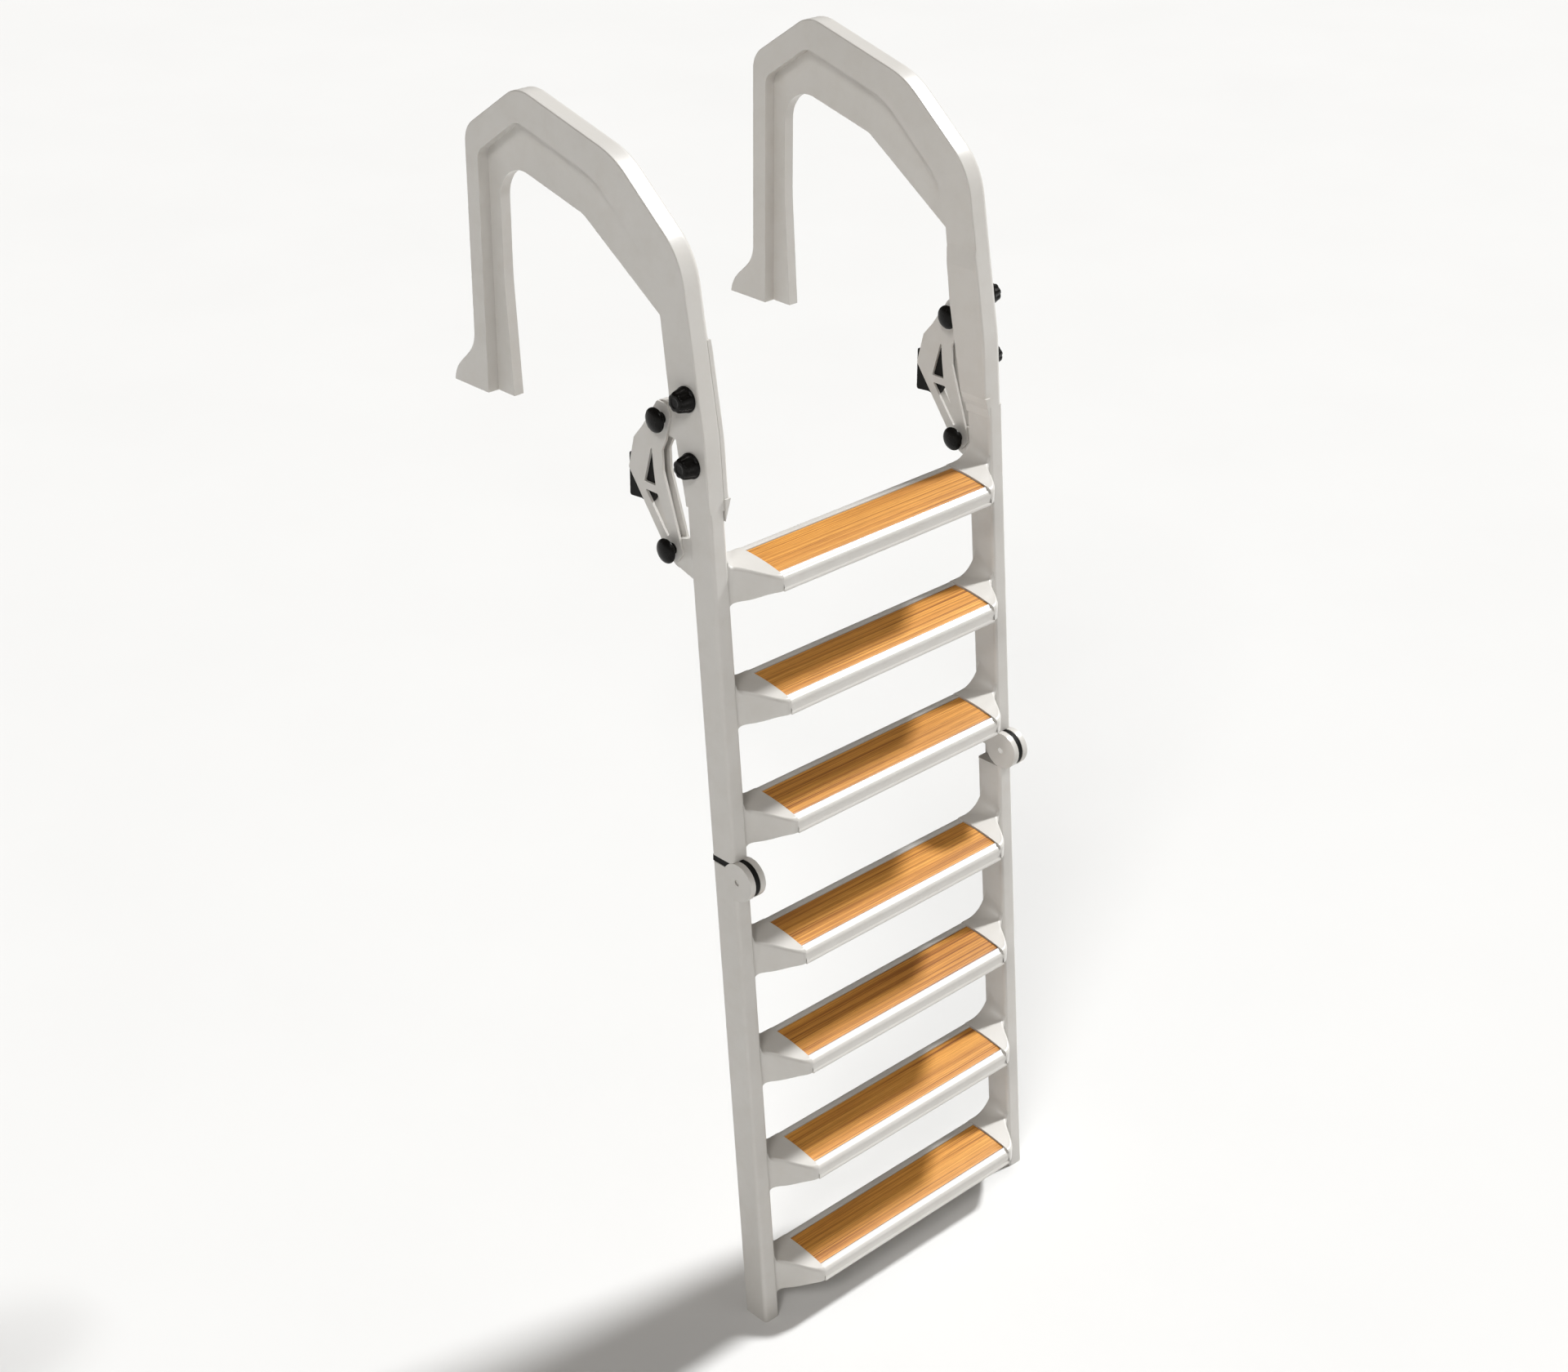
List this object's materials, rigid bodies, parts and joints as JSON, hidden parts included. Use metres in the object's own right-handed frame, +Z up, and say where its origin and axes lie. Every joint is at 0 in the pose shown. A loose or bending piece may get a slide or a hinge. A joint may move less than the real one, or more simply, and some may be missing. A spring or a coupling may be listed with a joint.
{
  "type": "pool ladder",
  "caption": "Folding pool ladder with leaning stringers, crowned wood-topped steps, a fold hinge, two removable arch handrails that stand on the deck, and rear stand-off brackets.",
  "frame": {"origin": "on the deck surface, midway between the two handrail feet", "axes": "+X across the ladder, +Z up, -Y towards the water and the climber"},
  "size_m": [0.7849, 0.8789, 2.269],
  "materials": {
    "white_paint": "semi-gloss warm white",
    "teak": "oiled, long straight grain",
    "black_plastic": "semi-gloss moulded",
    "black_rubber": "satin",
    "stainless": "turned"
  },
  "bodies": {
    "upper_section": {"bracket_plate_left_inner": "white_paint", "bracket_plate_left_outer": "white_paint", "bracket_plate_right_inner": "white_paint", "bracket_plate_right_outer": "white_paint", "fold_buffer_left": "black_rubber", "fold_buffer_right": "black_rubber", "fold_pin_left": "stainless", "fold_pin_right": "stainless", "handrail_left": "white_paint", "handrail_right": "white_paint", "rest_block_left": "black_rubber", "rest_block_right": "black_rubber", "step_casting_1": "white_paint", "step_casting_2": "white_paint", "step_casting_3": "white_paint", "upper_stringer_left": "white_paint", "upper_stringer_right": "white_paint", "wood_insert_1": "teak", "wood_insert_2": "teak", "wood_insert_3": "teak"},
    "lower_section": {"lower_stringer_left": "white_paint", "lower_stringer_right": "white_paint", "step_casting_4": "white_paint", "step_casting_5": "white_paint", "step_casting_6": "white_paint", "step_casting_7": "white_paint", "wood_insert_4": "teak", "wood_insert_5": "teak", "wood_insert_6": "teak", "wood_insert_7": "teak"},
    "pull_pin_left_upper": {"pull_head_left_upper": "black_plastic", "pull_pin_left_upper": "stainless"},
    "clamp_knob_left_upper": {"clamp_knob_left_upper": "black_plastic", "clamp_stud_left_upper": "stainless"},
    "pull_pin_left_lower": {"pull_head_left_lower": "black_plastic", "pull_pin_left_lower": "stainless"},
    "clamp_knob_left_lower": {"clamp_knob_left_lower": "black_plastic", "clamp_stud_left_lower": "stainless"},
    "pull_pin_right_upper": {"pull_head_right_upper": "black_plastic", "pull_pin_right_upper": "stainless"},
    "clamp_knob_right_upper": {"clamp_knob_right_upper": "black_plastic", "clamp_stud_right_upper": "stainless"},
    "pull_pin_right_lower": {"pull_head_right_lower": "black_plastic", "pull_pin_right_lower": "stainless"},
    "clamp_knob_right_lower": {"clamp_knob_right_lower": "black_plastic", "clamp_stud_right_lower": "stainless"}
  },
  "joints": [
    {"name": "section_fold", "type": "hinge", "parent": "upper_section", "child": "lower_section", "pos_m": [0, -0.69753, -0.741], "axis": [-1, 0, 0], "range_deg": [0, 180]},
    {"name": "pull_left_upper", "type": "slide", "parent": "upper_section", "child": "pull_pin_left_upper", "axis": [-1, 0, 0], "range_m": [0, 0.03]},
    {"name": "turn_left_upper", "type": "hinge", "parent": "upper_section", "child": "clamp_knob_left_upper", "pos_m": [-0.3653, -0.58024, 0.143], "axis": [-1, 0, 0], "continuous": true},
    {"name": "pull_left_lower", "type": "slide", "parent": "upper_section", "child": "pull_pin_left_lower", "axis": [-1, 0, 0], "range_m": [0, 0.03]},
    {"name": "turn_left_lower", "type": "hinge", "parent": "upper_section", "child": "clamp_knob_left_lower", "pos_m": [-0.3653, -0.59018, 0.027], "axis": [-1, 0, 0], "continuous": true},
    {"name": "pull_right_upper", "type": "slide", "parent": "upper_section", "child": "pull_pin_right_upper", "axis": [-1, 0, 0], "range_m": [0, 0.03]},
    {"name": "turn_right_upper", "type": "hinge", "parent": "upper_section", "child": "clamp_knob_right_upper", "pos_m": [0.3653, -0.58024, 0.143], "axis": [1, 0, 0], "continuous": true},
    {"name": "pull_right_lower", "type": "slide", "parent": "upper_section", "child": "pull_pin_right_lower", "axis": [-1, 0, 0], "range_m": [0, 0.03]},
    {"name": "turn_right_lower", "type": "hinge", "parent": "upper_section", "child": "clamp_knob_right_lower", "pos_m": [0.3653, -0.59018, 0.027], "axis": [1, 0, 0], "continuous": true}
  ]
}
